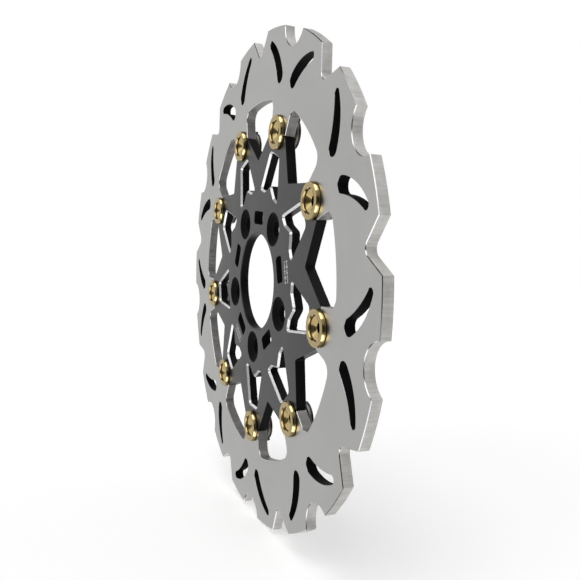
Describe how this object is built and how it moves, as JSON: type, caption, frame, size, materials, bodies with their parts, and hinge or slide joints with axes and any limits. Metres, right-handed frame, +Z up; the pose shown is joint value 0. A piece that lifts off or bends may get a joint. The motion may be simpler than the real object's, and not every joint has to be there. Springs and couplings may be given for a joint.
{
  "type": "floating brake disc rotor",
  "caption": "Floating motorcycle brake disc: lobed, slotted steel ring held on a windowed black carrier by flanged gold bobbins, wave springs and clips.",
  "frame": {"origin": "on the disc's own axis, in the plane of the carrier's hub mounting face", "axes": "+Y along the disc axis from the outboard face toward the wheel hub, +Z up, +X to the right seen from the outboard side; the disc stands upright"},
  "size_m": [0.292, 0.0131, 0.292],
  "materials": {
    "ring_steel": "satin ground stainless friction ring",
    "black_anodised": "satin black anodised, window chamfers cut back to bright metal",
    "gold_anodised": "polished gold anodised, satin front face",
    "spring_steel": "plain spring steel",
    "plated_steel": "bright zinc plate",
    "clip_steel": "oiled dark spring steel"
  },
  "bodies": {
    "carrier": {"carrier": "black_anodised"},
    "ring": {"rotor_ring": "ring_steel"},
    "bobbin_set_1": {"bobbin_1": "gold_anodised", "wave_spring_1": "spring_steel", "washer_1": "plated_steel", "circlip_1": "clip_steel"},
    "bobbin_set_2": {"bobbin_2": "gold_anodised", "wave_spring_2": "spring_steel", "washer_2": "plated_steel", "circlip_2": "clip_steel"},
    "bobbin_set_3": {"bobbin_3": "gold_anodised", "wave_spring_3": "spring_steel", "washer_3": "plated_steel", "circlip_3": "clip_steel"},
    "bobbin_set_4": {"bobbin_4": "gold_anodised", "wave_spring_4": "spring_steel", "washer_4": "plated_steel", "circlip_4": "clip_steel"},
    "bobbin_set_5": {"bobbin_5": "gold_anodised", "wave_spring_5": "spring_steel", "washer_5": "plated_steel", "circlip_5": "clip_steel"},
    "bobbin_set_6": {"bobbin_6": "gold_anodised", "wave_spring_6": "spring_steel", "washer_6": "plated_steel", "circlip_6": "clip_steel"},
    "bobbin_set_7": {"bobbin_7": "gold_anodised", "wave_spring_7": "spring_steel", "washer_7": "plated_steel", "circlip_7": "clip_steel"},
    "bobbin_set_8": {"bobbin_8": "gold_anodised", "wave_spring_8": "spring_steel", "washer_8": "plated_steel", "circlip_8": "clip_steel"},
    "bobbin_set_9": {"bobbin_9": "gold_anodised", "wave_spring_9": "spring_steel", "washer_9": "plated_steel", "circlip_9": "clip_steel"}
  },
  "joints": [
    {"name": "ring_float", "type": "slide", "parent": "carrier", "child": "ring", "axis": [0, 1, 0], "range_m": [-0.0002, 0.0003], "stiffness_N_per_m": 20000},
    {"name": "bobbin_spin_1", "type": "hinge", "parent": "carrier", "child": "bobbin_set_1", "pos_m": [0.08161, 0, 0.0398], "axis": [0, 1, 0], "continuous": true},
    {"name": "bobbin_spin_2", "type": "hinge", "parent": "carrier", "child": "bobbin_set_2", "pos_m": [0.03693, 0, 0.08295], "axis": [0, 1, 0], "continuous": true},
    {"name": "bobbin_spin_3", "type": "hinge", "parent": "carrier", "child": "bobbin_set_3", "pos_m": [-0.02503, 0, 0.08728], "axis": [0, 1, 0], "continuous": true},
    {"name": "bobbin_spin_4", "type": "hinge", "parent": "carrier", "child": "bobbin_set_4", "pos_m": [-0.07528, 0, 0.05078], "axis": [0, 1, 0], "continuous": true},
    {"name": "bobbin_spin_5", "type": "hinge", "parent": "carrier", "child": "bobbin_set_5", "pos_m": [-0.0903, 0, -0.00949], "axis": [0, 1, 0], "continuous": true},
    {"name": "bobbin_spin_6", "type": "hinge", "parent": "carrier", "child": "bobbin_set_6", "pos_m": [-0.06308, 0, -0.06532], "axis": [0, 1, 0], "continuous": true},
    {"name": "bobbin_spin_7", "type": "hinge", "parent": "carrier", "child": "bobbin_set_7", "pos_m": [-0.00633, 0, -0.09058], "axis": [0, 1, 0], "continuous": true},
    {"name": "bobbin_spin_8", "type": "hinge", "parent": "carrier", "child": "bobbin_set_8", "pos_m": [0.05337, 0, -0.07346], "axis": [0, 1, 0], "continuous": true},
    {"name": "bobbin_spin_9", "type": "hinge", "parent": "carrier", "child": "bobbin_set_9", "pos_m": [0.0881, 0, -0.02197], "axis": [0, 1, 0], "continuous": true}
  ]
}
